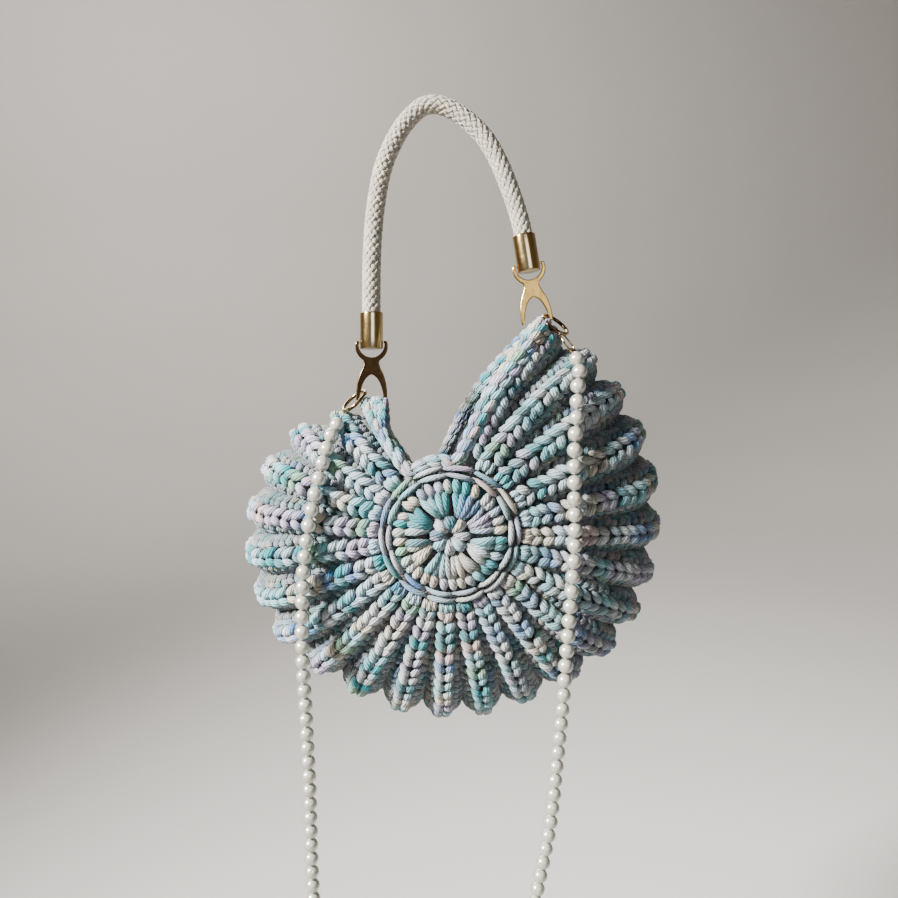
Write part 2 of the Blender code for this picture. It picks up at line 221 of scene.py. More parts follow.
# %% Lights
def area_light(name, place, target, size, power, colour, spread=180.0):
    """A square soft light at a place, aimed at a target, its beam spread in degrees."""
    data = bpy.data.lights.new(name, "AREA")
    data.size = size
    data.energy = power
    data.color = colour
    data.spread = math.radians(spread)
    item = put(name, data)
    item.location = place
    aim = np.array(target) - np.array(place)
    item.rotation_euler = (math.atan2(math.hypot(aim[0], aim[1]), -aim[2]), 0.0,
                           math.atan2(aim[1], aim[0]) - math.pi / 2)


area_light("key", (-1.72, -0.88, 0.92), (0.0, -0.03, -0.27), 0.50, 33.5, (1.0, 0.985, 0.955), 55.0)
area_light("fill", (0.5, -1.8, 0.5), (0.0, -0.03, -0.3), 0.9, 0.9, (0.93, 0.96, 1.0), 60.0)
area_light("back_fill", (-0.6, 1.7, 0.9), (0.0, 0.0, -0.3), 1.4, 7.0, (1.0, 0.98, 0.96), 60.0)
area_light("backdrop_wash", (-0.7, 1.3, 1.2), (-0.6, 3.1, -0.3), 1.4, 34.0, (1.0, 0.975, 0.94), 140.0)
world = bpy.data.worlds.new("soft_room")
world.use_nodes = True
world.node_tree.nodes["Background"].inputs["Color"].default_value = (0.84, 0.86, 0.88, 1.0)
world.node_tree.nodes["Background"].inputs["Strength"].default_value = 0.09
bpy.context.scene.world = world

# %% [markdown]
# ## The shell's surface
# The bag's wall is a superellipse swept round the front disc. An angle says where round the disc a point is,
# and a turn from 0 to pi says how far it has gone from the front disc over the outline to the back disc.

# %% Sizes of the shell
# Metres and degrees, as in the CAD. An outline row is an angle and the outline's share of the radius there;
# a squareness row is an angle and the superellipse's power there.
RADIUS, HALF_DEPTH = 0.145, 0.050
CENTRE = np.array((0.0152, -0.030, -0.2656))
DISC_RADIUS, DISC_DOME = 0.0432, 0.0042
INNER = DISC_RADIUS + 0.0013
BACK_DROP = 0.022
RIB_STEP = 13.0
CRESTS = -132.5 + RIB_STEP * np.arange(22)
LEFT_EDGE, RIGHT_EDGE = -141.5, 152.8
LEAN_FROM, FRONT_LEAN, BACK_LEAN = 95.0, 15.0, 30.0  # the ribs by the right edge lean towards the mouth
OUTLINE = np.array((
    (-160, 0.64), (-142, 0.680), (-134, 0.697), (-128, 0.750), (-116, 0.848), (-100, 0.918),
    (-85, 0.955), (-70, 0.982), (-55, 0.998), (-40, 0.985), (-27, 0.973), (-10, 0.977), (10, 0.977),
    (27, 0.970), (42, 0.990), (55, 1.003), (70, 0.990), (85, 0.970), (106, 0.970), (127, 0.983),
    (148, 0.993), (160, 1.0), (185, 1.0),
)).T
SQUARENESS = np.array((
    (-160, 1.6), (-130, 1.6), (-110, 1.9), (-85, 2.3), (-50, 2.6), (50, 2.6), (110, 2.5),
    (140, 2.1), (156, 1.9), (185, 1.9),
)).T


def smooth_step(x):
    """0 below 0, 1 above 1, and a soft S between."""
    x = np.clip(x, 0.0, 1.0)
    return x * x * (3 - 2 * x)


def profile(angle):
    """How far the wall reaches beyond the disc at an angle, and its superellipse's power there."""
    return np.interp(angle, *OUTLINE) * RADIUS - INNER, np.interp(angle, *SQUARENESS)


def shell(angle, turn, depth=0.0):
    """Points of the wall: out = sin(turn)^(2/p), ahead = cos(turn)^(2/p), swung round the disc's axis."""
    reach, power = profile(angle)
    side = np.where(np.cos(turn) >= 0, 1.0, -1.0)
    out = np.maximum(np.sin(turn), 0.0) ** (2 / power)
    ahead = np.abs(np.cos(turn)) ** (2 / power)
    nx, ny = out ** (power - 1) / reach, ahead ** (power - 1) / HALF_DEPTH
    size = np.hypot(nx, ny)
    radius = INNER + reach * out - depth * nx / size
    y = CENTRE[1] - side * (HALF_DEPTH * ahead - depth * ny / size)
    share = smooth_step((angle - LEAN_FROM) / (RIGHT_EDGE - LEAN_FROM))
    lean = share * (1 - np.sin(turn)) ** 1.1 * np.where(turn < np.pi / 2, FRONT_LEAN, BACK_LEAN)
    swing = np.radians(angle + lean)
    sag = BACK_DROP * np.maximum(-np.cos(turn), 0.0) ** 1.5
    return np.stack(np.broadcast_arrays(CENTRE[0] + radius * np.sin(swing), y,
                                        CENTRE[2] - sag - radius * np.cos(swing)), axis=-1)


# The ears are the free edges' highest points. The yarn's own thickness starts SINK under the CAD's outline.
LEFT_EAR, RIGHT_EAR = (shell(np.array(edge), np.array(np.pi / 2)) for edge in (LEFT_EDGE, RIGHT_EDGE))
SINK, VALLEY_DEPTH, RIB_FULLNESS = 0.0030, 0.0115, 2.6


def valley(turn):
    """Depth of the valley between two ribs, in metres: a tenth of the full depth at the discs."""
    return VALLEY_DEPTH * (0.10 + 0.90 * np.maximum(np.sin(turn), 0.0) ** 0.8)


def wobble(angle, turn):
    """Degrees by which a rib wanders, as handwork does; none at the discs and the free edges."""
    inside = smooth_step((angle - LEFT_EDGE) / 14) * smooth_step((RIGHT_EDGE - angle) / 14)
    return 0.9 * np.sin(turn) * inside * np.sin(2.6 * turn + angle / 11)


def rib_drop(across, turn):
    """How far a rib lies in: it is full like a finger, and drops by |across|^2.6 of the valley's depth."""
    return np.abs(across) ** RIB_FULLNESS * valley(turn) + SINK


def rib(crest, across, turn, lift=0.0):
    """Points on a rib: across runs from -1 in one valley over 0 on the crest to 1 in the next valley."""
    angle = crest + across * RIB_STEP / 2
    return shell(angle + wobble(angle, turn), turn, rib_drop(across, turn) - lift)


def unit(v):
    """Vectors brought to length 1."""
    return v / np.maximum(np.linalg.norm(v, axis=-1, keepdims=True), 1e-12)


def rib_normal(crest, across, turn):
    """Outward normal of the ribbed surface, from the cross product of its two tangents."""
    step = 1e-3
    over = rib(crest, across + step, turn) - rib(crest, across - step, turn)
    along = rib(crest, across, turn + step) - rib(crest, across, turn - step)
    normal = unit(np.cross(over, along))
    out = rib(crest, across, turn, 1e-3) - rib(crest, across, turn)
    return normal * np.sign((normal * out).sum(-1, keepdims=True))


# %% [markdown]
# ## Yarn
# The cotton is dyed in patches a few stitches long. Each row of stitches draws its own run of colours from
# one palette, and a stitch takes the colour where it lies in the run.

# %% Dye
PALETTE = np.array((
    (0.25, 0.45, 0.49), (0.38, 0.49, 0.55), (0.50, 0.53, 0.53), (0.55, 0.50, 0.41), (0.39, 0.35, 0.46),
    (0.04, 0.27, 0.30), (0.02, 0.16, 0.20), (0.15, 0.25, 0.42), (0.21, 0.37, 0.26), (0.55, 0.42, 0.39),
))
CHANCE = np.array((0.15, 0.14, 0.16, 0.12, 0.14, 0.11, 0.05, 0.07, 0.03, 0.03))
rng = np.random.default_rng(7)
# a dull dark tone that rows are drawn towards as painted shade
PAINTED_SHADE_TONE = np.array((0.15, 0.185, 0.195))
DYE_RUN = rng.choice(len(PALETTE), size=(997, 64), p=CHANCE / CHANCE.sum())


def dye_at(row, place, patch=0.0088):
    """Colour of the yarn at a place in metres along a row: patches with soft blends between them."""
    x = np.asarray(place) / patch + (np.asarray(row) * 0.37) % 1.0
    k = np.floor(x).astype(int)
    share = smooth_step((x - k - 0.1) / 0.8)[..., None]
    first = PALETTE[DYE_RUN[np.asarray(row) % 997, k % 64]]
    second = PALETTE[DYE_RUN[np.asarray(row) % 997, (k + 1) % 64]]
    return first + (second - first) * share


# %% Strands as swept tubes
def sweep(paths, normals, widths, thicks, sides=6):
    """Closed tubes along many paths at once.

    paths is (n, s, 3). The section at each station is an ellipse, as wide as widths across the surface
    and as thick as thicks along the surface's normal. Returns points, quads and UVs: u in metres along the
    strand and v once round it.
    """
    count, stations = paths.shape[:2]
    tangent = unit(np.gradient(paths, axis=1))
    across = unit(np.cross(normals, tangent))
    up = np.cross(tangent, across)
    swing = np.arange(sides) / sides * math.tau
    section = across[:, :, None] * (np.cos(swing)[:, None] * widths[..., None, None] / 2)
    section = section + up[:, :, None] * (np.sin(swing)[:, None] * thicks[..., None, None] / 2)
    points = (paths[:, :, None] + section).reshape(-1, 3)
    wall = grid_quads(stations, sides, True)
    fan = np.arange(1, sides - 1, 2)
    start = np.stack([np.zeros_like(fan), fan + 2, fan + 1, fan], axis=-1) % sides
    end = np.stack([np.zeros_like(fan), fan, fan + 1, fan + 2], axis=-1) % sides + (stations - 1) * sides
    one = np.concatenate([wall, start, end])
    quads = (one[None] + (np.arange(count) * stations * sides)[:, None, None]).reshape(-1, 4)
    length = np.concatenate([np.zeros((count, 1)),
                             np.linalg.norm(np.diff(paths, axis=1), axis=-1).cumsum(axis=1)], axis=1)
    rank = one // sides
    around = one % sides / sides
    seam = (around.max(axis=1, keepdims=True) - around > 0.5) & (np.arange(len(one)) < len(wall))[:, None]
    around = around + seam
    u = length[:, rank.reshape(-1)].reshape(count, -1)
    uv = np.stack([u, np.broadcast_to(around.reshape(-1), u.shape)], axis=-1).reshape(-1, 2)
    return points, quads, uv


def strands(name, paths, normals, widths, thicks, dye, material, sides=6):
    """A piece made of many strands; dye is one colour for each station."""
    points, quads, uv = sweep(paths, normals, widths, thicks, sides)
    colour = np.repeat(dye.reshape(-1, 3), sides, axis=0)
    return mesh_piece(name, points, quads, material, uv, colour)


# %% [markdown]
# Two effects are shared by all yarn: the plies that twist along a strand, and the short fibres on it.

# %% Shader groups for yarn
ply_group, entry, leave = new_group(
    "ply_twist", (("Strand", "NodeSocketVector", None), ("Ply length", "NodeSocketFloat", 0.009),
                  ("Plies", "NodeSocketFloat", 6.0)), (("Height", "NodeSocketFloat"),))
split = add_node(ply_group, "ShaderNodeSeparateXYZ", Vector=entry.outputs["Strand"])
along = maths(ply_group, "DIVIDE", split.outputs["X"], entry.outputs["Ply length"])
around = maths(ply_group, "MULTIPLY", split.outputs["Y"], entry.outputs["Plies"])
phase = maths(ply_group, "MULTIPLY", maths(ply_group, "ADD", along, around), math.pi)
ply_group.links.new(maths(ply_group, "ABSOLUTE", maths(ply_group, "SINE", phase)), leave.inputs["Height"])

streak_group, entry, leave = new_group(
    "streaks", (("Strand", "NodeSocketVector", None),), (("Value", "NodeSocketFloat"),))
stretched = add_node(streak_group, "ShaderNodeVectorMath", operation="MULTIPLY")
streak_group.links.new(entry.outputs["Strand"], stretched.inputs[0])
stretched.inputs[1].default_value = (170.0, 9.0, 1.0)
noise = add_node(streak_group, "ShaderNodeTexNoise", Vector=stretched.outputs[0], Scale=1.0, Detail=3.0)
streak_group.links.new(noise.outputs["Fac"], leave.inputs["Value"])

fibre_group, entry, leave = new_group(
    "fibres", (("Position", "NodeSocketVector", None), ("Scale", "NodeSocketFloat", 900.0)),
    (("Height", "NodeSocketFloat"), ("Patch", "NodeSocketFloat")))
fine = add_node(fibre_group, "ShaderNodeTexNoise", Vector=entry.outputs["Position"],
                Scale=entry.outputs["Scale"], Detail=4.0, Roughness=0.65)
broad = add_node(fibre_group, "ShaderNodeTexNoise", Vector=entry.outputs["Position"],
                 Scale=maths(fibre_group, "MULTIPLY", entry.outputs["Scale"], 0.14), Detail=2.0)
fibre_group.links.new(fine.outputs["Fac"], leave.inputs["Height"])
fibre_group.links.new(broad.outputs["Fac"], leave.inputs["Patch"])


def yarn_material(name, ply=0.0034, plies=8.0, painted_shade_factor=1.0, bump=0.00055):
    """Soft cotton: the dye with painted shade in the grooves between plies, mottled, with twist and fibres as
    bump. A shade factor under 1 darkens it all as painted shade.
    """
    made, tree, shader = new_material(name)
    place = add_node(tree, "ShaderNodeTexCoord").outputs["Object"]
    strand = add_node(tree, "ShaderNodeUVMap", uv_map="strand").outputs["UV"]
    twist = use_group(tree, ply_group, Strand=strand, Ply_length=ply, Plies=plies).outputs["Height"]
    fibre = use_group(tree, fibre_group, Position=place).outputs
    streak = use_group(tree, streak_group, Strand=strand).outputs["Value"]
    patch, fuzz = fibre["Patch"], fibre["Height"]
    # painted shade in the grooves between plies, scaled as a whole by the shade factor; the patches, streaks
    # and fuzz below are the yarn's own mottle
    value = remap(tree, twist, 0.78 * painted_shade_factor, 1.06 * painted_shade_factor)
    for source, low, high in ((patch, 0.78, 1.14), (streak, 0.82, 1.12), (fuzz, 0.72, 1.18)):
        value = maths(tree, "MULTIPLY", value, remap(tree, source, low, high, 0.3, 0.7))
    dye = add_node(tree, "ShaderNodeAttribute", attribute_name="dye")
    varied = add_node(tree, "ShaderNodeHueSaturation", Hue=remap(tree, streak, 0.43, 0.57),
                      Saturation=remap(tree, patch, 0.75, 1.45, 0.3, 0.7), Color=dye.outputs["Color"])
    colour = add_node(tree, "ShaderNodeVectorMath", operation="SCALE")
    tree.links.new(varied.outputs["Color"], colour.inputs[0])
    tree.links.new(value, colour.inputs["Scale"])
    tree.links.new(colour.outputs[0], shader.inputs["Base Color"])
    sockets(shader, Roughness=0.88, Sheen_Weight=0.25, Sheen_Roughness=0.55)
    height = maths(tree, "ADD", twist, maths(tree, "MULTIPLY", fuzz, 1.1))
    height = maths(tree, "ADD", height, maths(tree, "MULTIPLY", streak, 0.6))
    bump_from(tree, shader, height, 1.0, bump)
    return made


yarn = yarn_material("crochet_yarn")
# the same yarn darkened all over as painted shade, for the sheets that show behind and between the stitches
shadow_yarn = yarn_material("crochet_painted_shade", painted_shade_factor=0.42)

# %% [markdown]
# ## Ribs
# Each rib is two rows of plump leaf-shaped stitches that meet in a V along its crest. Two rows of slanted
# stitches lie on each flank and one more in the valley. Plainer rows line the inside.


# %% Base shell
def base_shell():
    """The crocheted sheet behind the stitches: the ribbed surface 1.8 mm in, and its inner side 4.2 mm in, in
    yarn darkened as painted shade.
    """
    angles = np.linspace(LEFT_EDGE, RIGHT_EDGE, len(CRESTS) * 10)
    turns = np.linspace(0.0, np.pi, 60)
    a, t = np.meshgrid(angles, turns, indexing="ij")
    nearest = np.abs((a - CRESTS[0] + RIB_STEP / 2) % RIB_STEP - RIB_STEP / 2) / (RIB_STEP / 2)
    bent = a + wobble(a, t)
    outer, inner = (shell(bent, t, rib_drop(nearest, t) + deeper) for deeper in (0.0018, 0.0042))
    loop = np.concatenate([outer, inner[:, ::-1]], axis=1)
    columns = loop.shape[1]
    wall = grid_quads(len(angles), columns, True)
    half = len(turns)
    k = np.arange(half - 1)
    ends = np.stack([k, k + 1, columns - 2 - k, columns - 1 - k], axis=-1)
    quads = np.concatenate([wall, ends, ends[:, ::-1] + (len(angles) - 1) * columns])
    i, j = np.meshgrid(np.arange(len(angles)), np.arange(columns), indexing="ij")
    dye = dye_at(i // 5, j * 0.004)
    along = np.stack([j * 0.0036, i * 0.33], axis=-1).reshape(-1, 2)
    piece = mesh_piece("shell_inside", loop.reshape(-1, 3), quads, shadow_yarn, along[quads.reshape(-1)],
                       dye.reshape(-1, 3))
    dress(piece, "ribbed_body")


base_shell()


# %% Places along a path
def lengths(path):
    """Distance along a path at each of its points."""
    return np.concatenate([[0.0], np.linalg.norm(np.diff(path, axis=0), axis=-1).cumsum()])


def read_at(at, places, rows):
    """Rows of three values, known at places along a path, read at other distances along it."""
    return np.stack([np.interp(at, places, rows[:, k]) for k in range(3)], axis=-1)


# %% [markdown]
# A stitch is a strand with seven stations from its root to its tip. PLUMP is its width there and ARCH lifts
# its middle.
# A row of factors darkens its ends with painted shade, where they go under the neighbours.

# %% A row of stitches along a rib
SAMPLE = np.pi / 2 * (1 - np.cos(np.linspace(0.0, np.pi, 501)))
STATION = np.linspace(0.0, 1.0, 7)
ARCH = np.sin(np.pi * STATION)
# painted shade at a stitch's two ends, where they go under the neighbours
PAINTED_END_SHADE = np.array((0.42, 0.80, 1.0, 1.04, 1.0, 0.76, 0.36))[:, None]
PLUMP = np.array((0.30, 0.78, 0.98, 1.0, 0.92, 0.70, 0.26))
FULL_ROOM = 0.0054  # half a rib's width from which its stitches have their full size


def stitch_row(crest, side, near, far, pitch, advance, width, thick, lifts, row, narrow=0.0, start=0.006,
               painted_shade_share=0.0):
    """Leaf stitches along one side of a rib, from near to far metres off its crest line.

    A stitch every pitch metres moves on by advance. lifts are its heights at root, middle and tip. Where half
    the rib's width is under narrow there is none. The share of painted shade draws the dye towards a dull
    dark tone.
    """
    line = rib(crest, np.zeros_like(SAMPLE), SAMPLE)
    length = lengths(line)
    count = int((length[-1] - 2 * start - abs(advance)) / pitch)
    first = start + max(-advance, 0.0) + (np.arange(count) + rng.uniform(-0.16, 0.16, count)) * pitch
    place = first[:, None] + advance * STATION * rng.uniform(0.90, 1.12, (count, 1))
    turn = np.interp(place, length, SAMPLE)
    reach, power = profile(crest)
    half = np.radians(RIB_STEP / 2) * (INNER + reach * np.sin(turn) ** (2 / power))
    room = np.clip(half / FULL_ROOM, 0.0, 1.0)
    sway = rng.normal(0.0, 0.00035, (count, 1))
    spot = (near + (far - near) * STATION + sway) * room
    across = side * np.clip(spot / half, 0.0, 1.02)
    low, high, end = lifts
    lift = low + (end - low) * STATION + (high - (low + end) / 2) * 4 * STATION * (1 - STATION)
    paths = rib(crest, across, turn, lift * room)
    normals = rib_normal(crest, across, turn)
    lift = lift + rng.normal(0.0, 0.0003, (count, 1))
    grow = rng.uniform(0.88, 1.15, count)[:, None]
    keep = half.mean(axis=1) > narrow
    widths = width * PLUMP * room ** 0.6 * grow
    thicks = thick * PLUMP * room ** 0.6 * grow
    # painted shade: stitches darken towards the valleys, more where the valley is deeper
    painted_valley_shade = smooth_step((np.abs(across) - 0.3) / 0.6) * valley(turn) / VALLEY_DEPTH
    dye = dye_at(row, place)
    # painted shade: the dye drawn towards a dull dark tone
    dye = dye + (PAINTED_SHADE_TONE - dye) * painted_shade_share
    # painted shade at the ends, eased where the row already carries painted shade
    eased_end_shade = 1 - (1 - PAINTED_END_SHADE) * (1 - 0.6 * painted_shade_share)
    dye = dye * rng.uniform(0.90, 1.08, (count, 1, 1)) * (1 - 0.55 * painted_valley_shade[..., None]) * eased_end_shade
    return [part[keep] for part in (paths, normals, widths, thicks, dye)]


def gather(rows):
    """Rows of stitches joined into one set of arrays."""
    return [np.concatenate(parts) for parts in zip(*rows)]


# %% Crest stitches
# A last half rib beyond the crests ends at the right edge, and the left edge has one flank more.
LAST_CREST, FIRST_FLANK = 153.0, -145.5
crest_rows = [stitch_row(crest, side, near=0.0058, far=0.0002, pitch=0.0072, advance=0.0086, width=0.0058,
                         thick=0.0052, lifts=(0.0, 0.0030, 0.0006), row=31 * k, start=0.0065,
                         # painted shade, growing towards the right side, which faces away from the key light
                         painted_shade_share=0.06 + 0.24 * smooth_step((crest + 50) / 80))
              for k, crest in enumerate(CRESTS) for side in (-1, 1)]
crest_rows.append(stitch_row(LAST_CREST, -1, near=0.0062, far=0.0020, pitch=0.0071, advance=0.0096,
                             width=0.0056, thick=0.0050, lifts=(0.0, 0.0026, 0.0), row=977, start=0.0065))
dress(strands("crest_stitches", *gather(crest_rows), yarn), "ribbed_body")


# %% Flank stitches: near, far, pitch, advance, width, thick, lifts and narrow of each row
FLANK_ROWS = (
    (0.0060, 0.0100, 0.0054, 0.0066, 0.0050, 0.0036, (-0.0006, 0.0010, -0.0002), 0.0072),
    (0.0090, 0.0136, 0.0054, -0.0062, 0.0054, 0.0036, (0.0002, 0.0014, 0.0002), 0.0100),
    (0.0126, 0.0174, 0.0056, 0.0062, 0.0056, 0.0036, (0.0004, 0.0014, 0.0002), 0.0132),
)


def flank(name, side, chosen):
    """Chosen rows of slanted stitches down one flank of every rib."""
    rows = []
    crests = np.append(CRESTS, LAST_CREST) if side < 0 else np.insert(CRESTS, 0, FIRST_FLANK)
    for k, crest in enumerate(crests):
        for row in chosen:
            near, far, pitch, advance, width, thick, lifts, narrow = FLANK_ROWS[row]
            if crest > LEFT_EDGE or row > 0:
                rows.append(stitch_row(crest, side, near, far, pitch, advance, width, thick, lifts,
                                       # flank and valley rows are half drawn towards the painted shade tone
                                       31 * k + 13 + (side > 0) * 5 + 4 * row, narrow, painted_shade_share=0.5))
    dress(strands(name, *gather(rows), yarn), "ribbed_body")


for label, side in (("left", -1), ("right", 1)):
    flank(f"flank_stitches_{label}", side, (0, 1))
    flank(f"valley_stitches_{label}", side, (2,))

# %% Lining stitches
lining_rows = [stitch_row(crest, side, near, far, pitch=0.0112, advance=0.0134, width=0.0078, thick=0.0034,
                          # the lining rows inside the bag carry painted shade
                          lifts=(-0.0040, -0.0066, -0.0042), row=31 * k + 17, narrow=narrow, painted_shade_share=0.35)
               for k, crest in enumerate(CRESTS) for side in (-1, 1)
               for near, far, narrow in ((0.0076, 0.0014, 0.0), (0.0086, 0.0148, 0.0100))]
dress(strands("lining_stitches", *gather(lining_rows), yarn), "ribbed_body")

# %% [markdown]
# ## Medallions
# The disc in the middle of each face is worked in rounds: puffs, fans, a round of small stitches and a
# double chain.


# %% A point on a disc
def disc_point(side, radius, angle, lift):
    """Points on the front disc (side 1) or the back one (side -1), lifted off its dome."""
    dome = DISC_DOME * np.sqrt(np.clip(1 - (radius / (DISC_RADIUS + 0.002)) ** 2, 0.0, 1.0))
    drop = BACK_DROP if side < 0 else 0.0
    swing = np.radians(angle)
    return np.stack(np.broadcast_arrays(
        CENTRE[0] + radius * np.sin(swing), CENTRE[1] - side * (HALF_DEPTH - 0.002 + dome * 0.6 + lift),
        CENTRE[2] - drop - radius * np.cos(swing)), axis=-1)


def disc_round(side, radii, angles, spread, width, lift, row, plump=PLUMP):
    """A round of leaf stitches from one radius to another; angles and spread are at its two ends."""
    count = len(angles)
    radius = radii[0] + (radii[1] - radii[0]) * STATION + np.zeros((count, 1))
    angle = angles[:, None] + spread[:, None] * STATION
    rise = lift * (0.25 + 3.0 * STATION * (1 - STATION)) * rng.uniform(0.85, 1.15, (count, 1))
    paths = disc_point(side, radius, angle, rise)
    normals = np.broadcast_to(np.array((0.0, -side, 0.0)), paths.shape)
    widths = width * plump * rng.uniform(0.9, 1.1, (count, 1))
    dye = dye_at(row, (angles[:, None] * 0.00055 + 0.2) + STATION * 0.003, 0.012)
    # painted shade at the stitches' ends
    dye = dye * rng.uniform(0.86, 1.10, (count, 1, 1)) * PAINTED_END_SHADE
    return paths, normals, widths, widths * 0.95, dye


# Widths of a fan's stitch and of a chain's link at the seven stations.
FAN_TIP = np.array((0.34, 0.62, 0.84, 0.98, 1.0, 0.86, 0.40))
LINK = np.array((0.45, 0.85, 1.0, 1.0, 1.0, 0.85, 0.45))


def medallion(name, side, node, seed):
    """All the rounds of one disc: 16 puffs, 8 fans of 4, 34 small stitches and two rings of 14 links."""
    puff = np.repeat(np.arange(8) * 45.0, 2) + np.tile((-7.5, 7.5), 8) + rng.normal(0.0, 1.2, 16)
    fan = np.repeat(np.arange(8) * 45.0 + 20.0 + rng.normal(0.0, 2.0, 8), 4)
    part = np.tile(np.linspace(-15.5, 15.5, 4), 8) + rng.normal(0.0, 1.2, 32)
    small = np.arange(34) * 360.0 / 34 + rng.normal(0.0, 1.2, 34)
    chain = np.arange(14) * 360.0 / 14 + rng.normal(0.0, 0.8, 14)
    rows = [
        disc_round(side, (0.0020, 0.0134), puff, np.tile((3.0, -3.0), 8), 0.0056, 0.0032,
                   seed + np.repeat(np.arange(8), 2)[:, None], FAN_TIP),
        disc_round(side, (0.0118, 0.0305), fan + part * 0.62, part * 0.52 + 4.0, 0.0053, 0.0048,
                   seed + 70 + np.repeat(np.arange(8), 4)[:, None], FAN_TIP),
        disc_round(side, (0.0266, 0.0370), small, np.full(34, 4.0), 0.0060, 0.0034,
                   seed + 9 + np.arange(34)[:, None] // 3),
        disc_round(side, (0.0383, 0.0393), chain, np.full(14, 29.5), 0.0035, 0.0046,
                   seed + 30 + np.arange(14)[:, None], LINK),
        disc_round(side, (0.0438, 0.0430), chain + 3.0, np.full(14, 29.5), 0.0035, 0.0042,
                   seed + 50 + np.arange(14)[:, None], LINK),
    ]
    dress(strands(name, *gather(rows), yarn), node)


medallion("front_medallion", 1, "front_disc", 501)
medallion("back_medallion", -1, "back_disc", 601)


# %% Backing of the discs
def disc_backing(name, side, node):
    """A closed, slightly domed plate under the medallion's stitches, in yarn darkened as painted shade where
    it shows between them.
    """
    radius = np.array((0.0004, 0.010, 0.020, 0.030, 0.038, 0.0435, 0.0462, 0.0440, 0.030, 0.015, 0.0004))
    lift = np.array((0.2, 0.1, 0.0, -0.3, -0.8, -1.4, -2.8, -4.2, -4.6, -4.6, -4.6)) * 1e-3
    angle = np.arange(72) * 5.0
    points = disc_point(side, radius[:, None], angle[None], lift[:, None] - 0.0004)
    quads = grid_quads(len(radius), 72, True)
    quads = quads if side > 0 else quads[:, ::-1]
    uv = np.stack([np.repeat(radius, 72), np.tile(angle / 30, len(radius))], axis=-1)
    dye = dye_at(700, np.repeat(radius, 72))
    piece = mesh_piece(name, points.reshape(-1, 3), quads, shadow_yarn, uv[quads.reshape(-1)], dye)
    dress(piece, node)


disc_backing("front_backing", 1, "front_disc")
disc_backing("back_backing", -1, "back_disc")


# %% Bobbles where the ribs start
def bobbles(name, back):
    """A plump three-strand bobble at the foot of every rib."""
    crest = np.repeat(CRESTS, 3)[:, None]
    off = np.tile((-0.52, 0.0, 0.52), len(CRESTS))[:, None]
    out = 0.0002 + 0.0085 * STATION[None] + np.tile((0.0, 0.0006, 0.0), len(CRESTS))[:, None]
    reach, power = profile(crest)
    span = np.arcsin((out / reach) ** (power / 2))
    turn = np.pi - span if back else span
    lift = 0.0006 + 0.0030 * ARCH
    paths = rib(crest, off, turn, lift)
    normals = rib_normal(crest, off, turn)
    widths = np.broadcast_to(0.0050 * PLUMP, paths.shape[:2])
    dye = dye_at(np.repeat(np.arange(len(CRESTS)), 3)[:, None] * 5 + 801, STATION * 0.004)
    dress(strands(name, paths, normals, widths, widths * 0.95, dye, yarn), "ribbed_body")


bobbles("front_bobbles", False)
bobbles("back_bobbles", True)

# %% [markdown]
# ## Mouth rim
# A cord of long stitches runs along both free edges of the wall and over the top of each disc.


# %% The rim's line
RIM_RADIUS, RIM_SWING = 0.0045, 6.5


def edge_line(angle, away, rows=7, wall=0.005):
    """Points beside a free edge, front to back, each a rim's radius out from the wall's middle."""
    turn = np.pi * np.arange(rows + 1) / rows
    middle = shell(np.full(rows + 1, angle), turn, wall / 2)
    inward = shell(np.full(rows + 1, angle - away), turn, wall / 2)
    along = unit(middle[2:] - middle[:-2])
    outward = (middle - inward)[1:-1]
    outward = outward - along * (outward * along).sum(-1, keepdims=True)
    return middle[1:-1] + unit(outward) * RIM_RADIUS


def disc_line(start, end, side):
    """Four points over the top of one disc."""
    swing = np.radians(np.linspace(start, end, 4))
    middle = CENTRE - np.array((0.0, side * (HALF_DEPTH - 0.002), BACK_DROP if side < 0 else 0.0))
    ring = np.stack([np.sin(swing), np.zeros(4), -np.cos(swing)], axis=-1)
    return middle + ring * (DISC_RADIUS + RIM_RADIUS)


def catmull(points, steps, closed=False):
    """Catmull-Rom points on each span of a path, all spans at once."""
    p = np.asarray(points, dtype=float)
    if closed:
        ends = np.concatenate([p[-1:], p, p[:2]])
    else:
        ends = np.concatenate([2 * p[:1] - p[1:2], p, 2 * p[-1:] - p[-2:-1]])
    a, b, c, d = (ends[k:len(ends) - 3 + k, None] for k in range(4))
    t = (np.arange(steps) / steps)[None, :, None]
    curve = 0.5 * (2 * b + (c - a) * t + (2 * a - 5 * b + 4 * c - d) * t ** 2
                   + (3 * b - a - 3 * c + d) * t ** 3)
    return np.concatenate([curve.reshape(-1, p.shape[1]), p[:1] if closed else p[-1:]])


def resample(path, spacing):
    """The same path with even spacing, and the length at each point."""
    length = lengths(path)
    places = np.linspace(0.0, length[-1], int(round(length[-1] / spacing)) + 1)
    return read_at(places, length, path), places


left_end, right_end = LEFT_EDGE - RIM_SWING, RIGHT_EDGE + RIM_SWING - 360
rim_path = catmull(np.concatenate([
    edge_line(LEFT_EDGE, -1.0), disc_line(left_end, right_end + 30.0, -1.0),
    edge_line(RIGHT_EDGE, 1.0)[::-1], disc_line(right_end + 15.0, left_end, 1.0),
]), 8, closed=True)
rim_line, rim_places = resample(rim_path, 0.0015)


# %% Rim chains
def carried_frame(path, start):
    """Two unit vectors across a path at each point, turned as little as possible along it."""
    tangent = unit(np.gradient(path, axis=0))
    first = np.empty_like(path)
    v = np.asarray(start, dtype=float)
    for k, t in enumerate(tangent):
        v = v - t * (v @ t)
        v = v / np.linalg.norm(v)
        first[k] = v
    return first, np.cross(tangent, first)


def around_path(path, places, frame, at, swing, out):
    """Points at distances along a path and angles round it, out metres off it, and the way out there."""
    first, second = (read_at(at, places, rows) for rows in frame)
    away = first * np.cos(swing)[..., None] + second * np.sin(swing)[..., None]
    return read_at(at, places, path) + away * out[..., None], away


